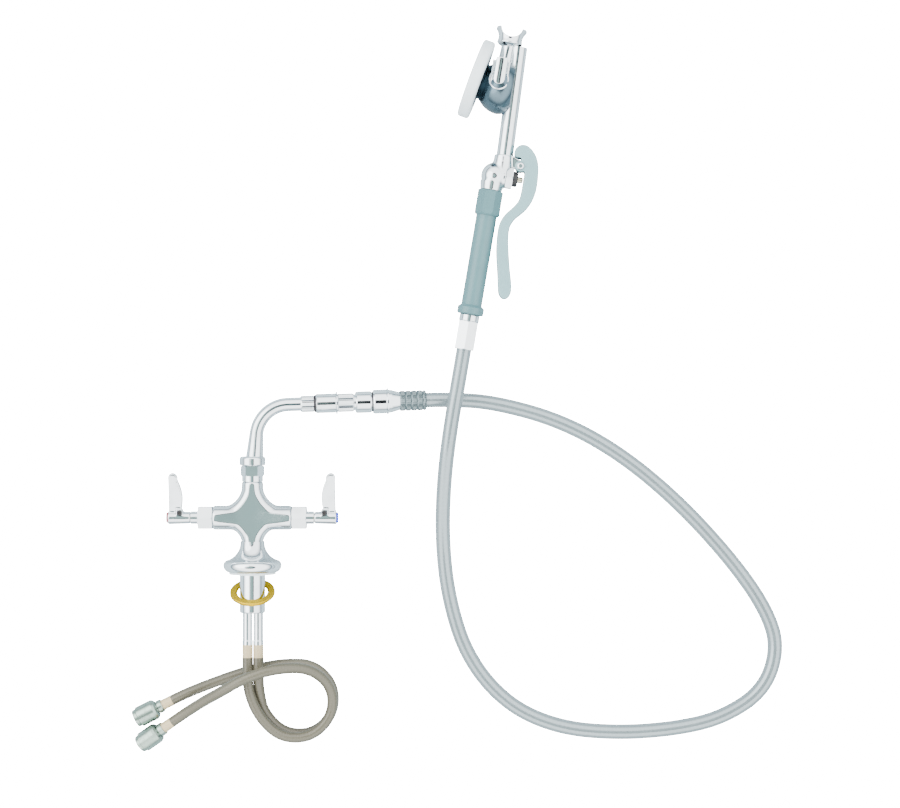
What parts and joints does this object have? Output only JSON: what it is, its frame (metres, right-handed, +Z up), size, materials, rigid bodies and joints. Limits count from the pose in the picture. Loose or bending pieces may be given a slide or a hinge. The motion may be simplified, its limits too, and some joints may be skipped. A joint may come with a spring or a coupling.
{
  "type": "pet bath sprayer set",
  "caption": "Single-hole mixing faucet with lever handles, swivel spout, breaker fittings, supply lines and a flexible hose that feeds an angled trigger hand sprayer",
  "frame": {"origin": "centre of the deck seat, on the axis of the threaded shank", "axes": "+Y from the deck up through the faucet, +X towards the side the spout swings to, +Z up from the table the set lies on"},
  "size_m": [0.7228, 0.799, 0.088],
  "materials": {
    "polished_chrome": "polished chrome plate on brass",
    "crimped_steel": "crimped stainless steel",
    "valve_brass": "machined brass",
    "spring_steel": "drawn stainless wire",
    "lacquered_brass": "bright turned brass",
    "black_rubber": "moulded nitrile",
    "red_index": "moulded, gloss",
    "blue_index": "moulded, gloss",
    "grey_grip": "moulded soft grip, satin",
    "grey_lever": "powder-coated casting, satin",
    "grey_bumper": "moulded rubber, satin",
    "spray_steel": "punched stainless steel",
    "hose_vinyl": "smooth vinyl over braid",
    "supply_braid": "fine braid, satin",
    "cream_band": "shrunk sleeve, satin",
    "nickel_nut": "satin nickel plate"
  },
  "bodies": {
    "faucet": {"faucet_body": "polished_chrome", "deck_flange": "polished_chrome", "deck_gasket": "black_rubber", "threaded_shank": "polished_chrome", "hot_bonnet": "polished_chrome", "cold_bonnet": "polished_chrome", "packing_ring": "polished_chrome", "spout_nut": "polished_chrome", "hot_supply_crimp": "polished_chrome", "cold_supply_crimp": "polished_chrome", "hot_supply_band": "cream_band", "cold_supply_band": "cream_band", "hot_supply_hose": "supply_braid", "cold_supply_hose": "supply_braid", "hot_end_band": "cream_band", "cold_end_band": "cream_band", "hot_tailpiece": "nickel_nut", "cold_tailpiece": "nickel_nut"},
    "washer": {"brass_washer": "lacquered_brass"},
    "hot_tap": {"hot_handle": "polished_chrome", "hot_stem": "valve_brass", "hot_index_button": "red_index"},
    "cold_tap": {"cold_handle": "polished_chrome", "cold_stem": "valve_brass", "cold_index_button": "blue_index"},
    "hot_coupling": {"hot_supply_nut": "nickel_nut"},
    "cold_coupling": {"cold_supply_nut": "nickel_nut"},
    "spout_arm": {"spout": "polished_chrome", "arm_coupling": "polished_chrome", "coupling_seal": "black_rubber", "vacuum_breaker": "polished_chrome", "breaker_washer": "polished_chrome", "knurled_ring": "polished_chrome", "check_spigot": "polished_chrome", "quick_sleeve": "polished_chrome", "sleeve_seal": "black_rubber", "swivel_body": "polished_chrome", "swivel_washer": "polished_chrome", "hose_adapter": "polished_chrome", "hose_ferrule": "crimped_steel", "main_hose": "hose_vinyl", "hose_nut": "polished_chrome", "swivel_tail": "polished_chrome"},
    "sprayer": {"grip_sleeve": "grey_grip", "grip_collar": "grey_grip", "water_tube": "valve_brass", "valve_body": "polished_chrome", "valve_bonnet": "polished_chrome", "valve_gland": "polished_chrome", "neck_tube": "polished_chrome", "spray_housing": "polished_chrome", "bumper_ring": "grey_bumper", "spray_plate": "spray_steel", "plate_screw": "polished_chrome", "hanging_crown": "polished_chrome", "side_bosses": "polished_chrome", "trigger_pin": "polished_chrome"},
    "trigger": {"trigger_lever": "grey_lever"},
    "plunger": {"valve_plunger": "valve_brass", "valve_spring": "spring_steel"}
  },
  "joints": [
    {"name": "spout_swivel", "type": "hinge", "parent": "faucet", "child": "spout_arm", "pos_m": [0, 0.12, 0], "axis": [0, 1, 0], "continuous": true},
    {"name": "handset_swivel", "type": "hinge", "parent": "spout_arm", "child": "sprayer", "pos_m": [0.239, 0.2849, 0.012], "axis": [0.1668, 0.986, 0], "continuous": true},
    {"name": "trigger_squeeze", "type": "hinge", "parent": "sprayer", "child": "trigger", "pos_m": [0.2942, 0.44636, 0.012], "axis": [0, 0, -1], "range_deg": [0, 2.4], "stiffness_Nm_per_rad": 3, "springref_deg": -2.86},
    {"name": "plunger_travel", "type": "slide", "parent": "sprayer", "child": "plunger", "axis": [-0.986, 0.1668, 0], "range_m": [0, 0.00063]},
    {"name": "hot_turn", "type": "hinge", "parent": "faucet", "child": "hot_tap", "pos_m": [-0.08, 0.062, 0], "axis": [1, 0, 0], "range_deg": [0, 90]},
    {"name": "cold_turn", "type": "hinge", "parent": "faucet", "child": "cold_tap", "pos_m": [0.08, 0.062, 0], "axis": [1, 0, 0], "range_deg": [0, 90]},
    {"name": "washer_slide", "type": "slide", "parent": "faucet", "child": "washer", "axis": [0, -1, 0], "range_m": [-0.006, 0.012]},
    {"name": "hot_nut_spin", "type": "hinge", "parent": "faucet", "child": "hot_coupling", "pos_m": [-0.0995, -0.1715, -0.01567], "axis": [-0.8033, -0.5697, -0.1736], "continuous": true},
    {"name": "cold_nut_spin", "type": "hinge", "parent": "faucet", "child": "cold_coupling", "pos_m": [-0.1015, -0.147, -0.0205], "axis": [-0.892, -0.452, 0], "continuous": true}
  ],
  "couplings": [
    {"joint": "plunger_travel", "follows": "trigger_squeeze", "m_per_rad": 0.0144}
  ]
}
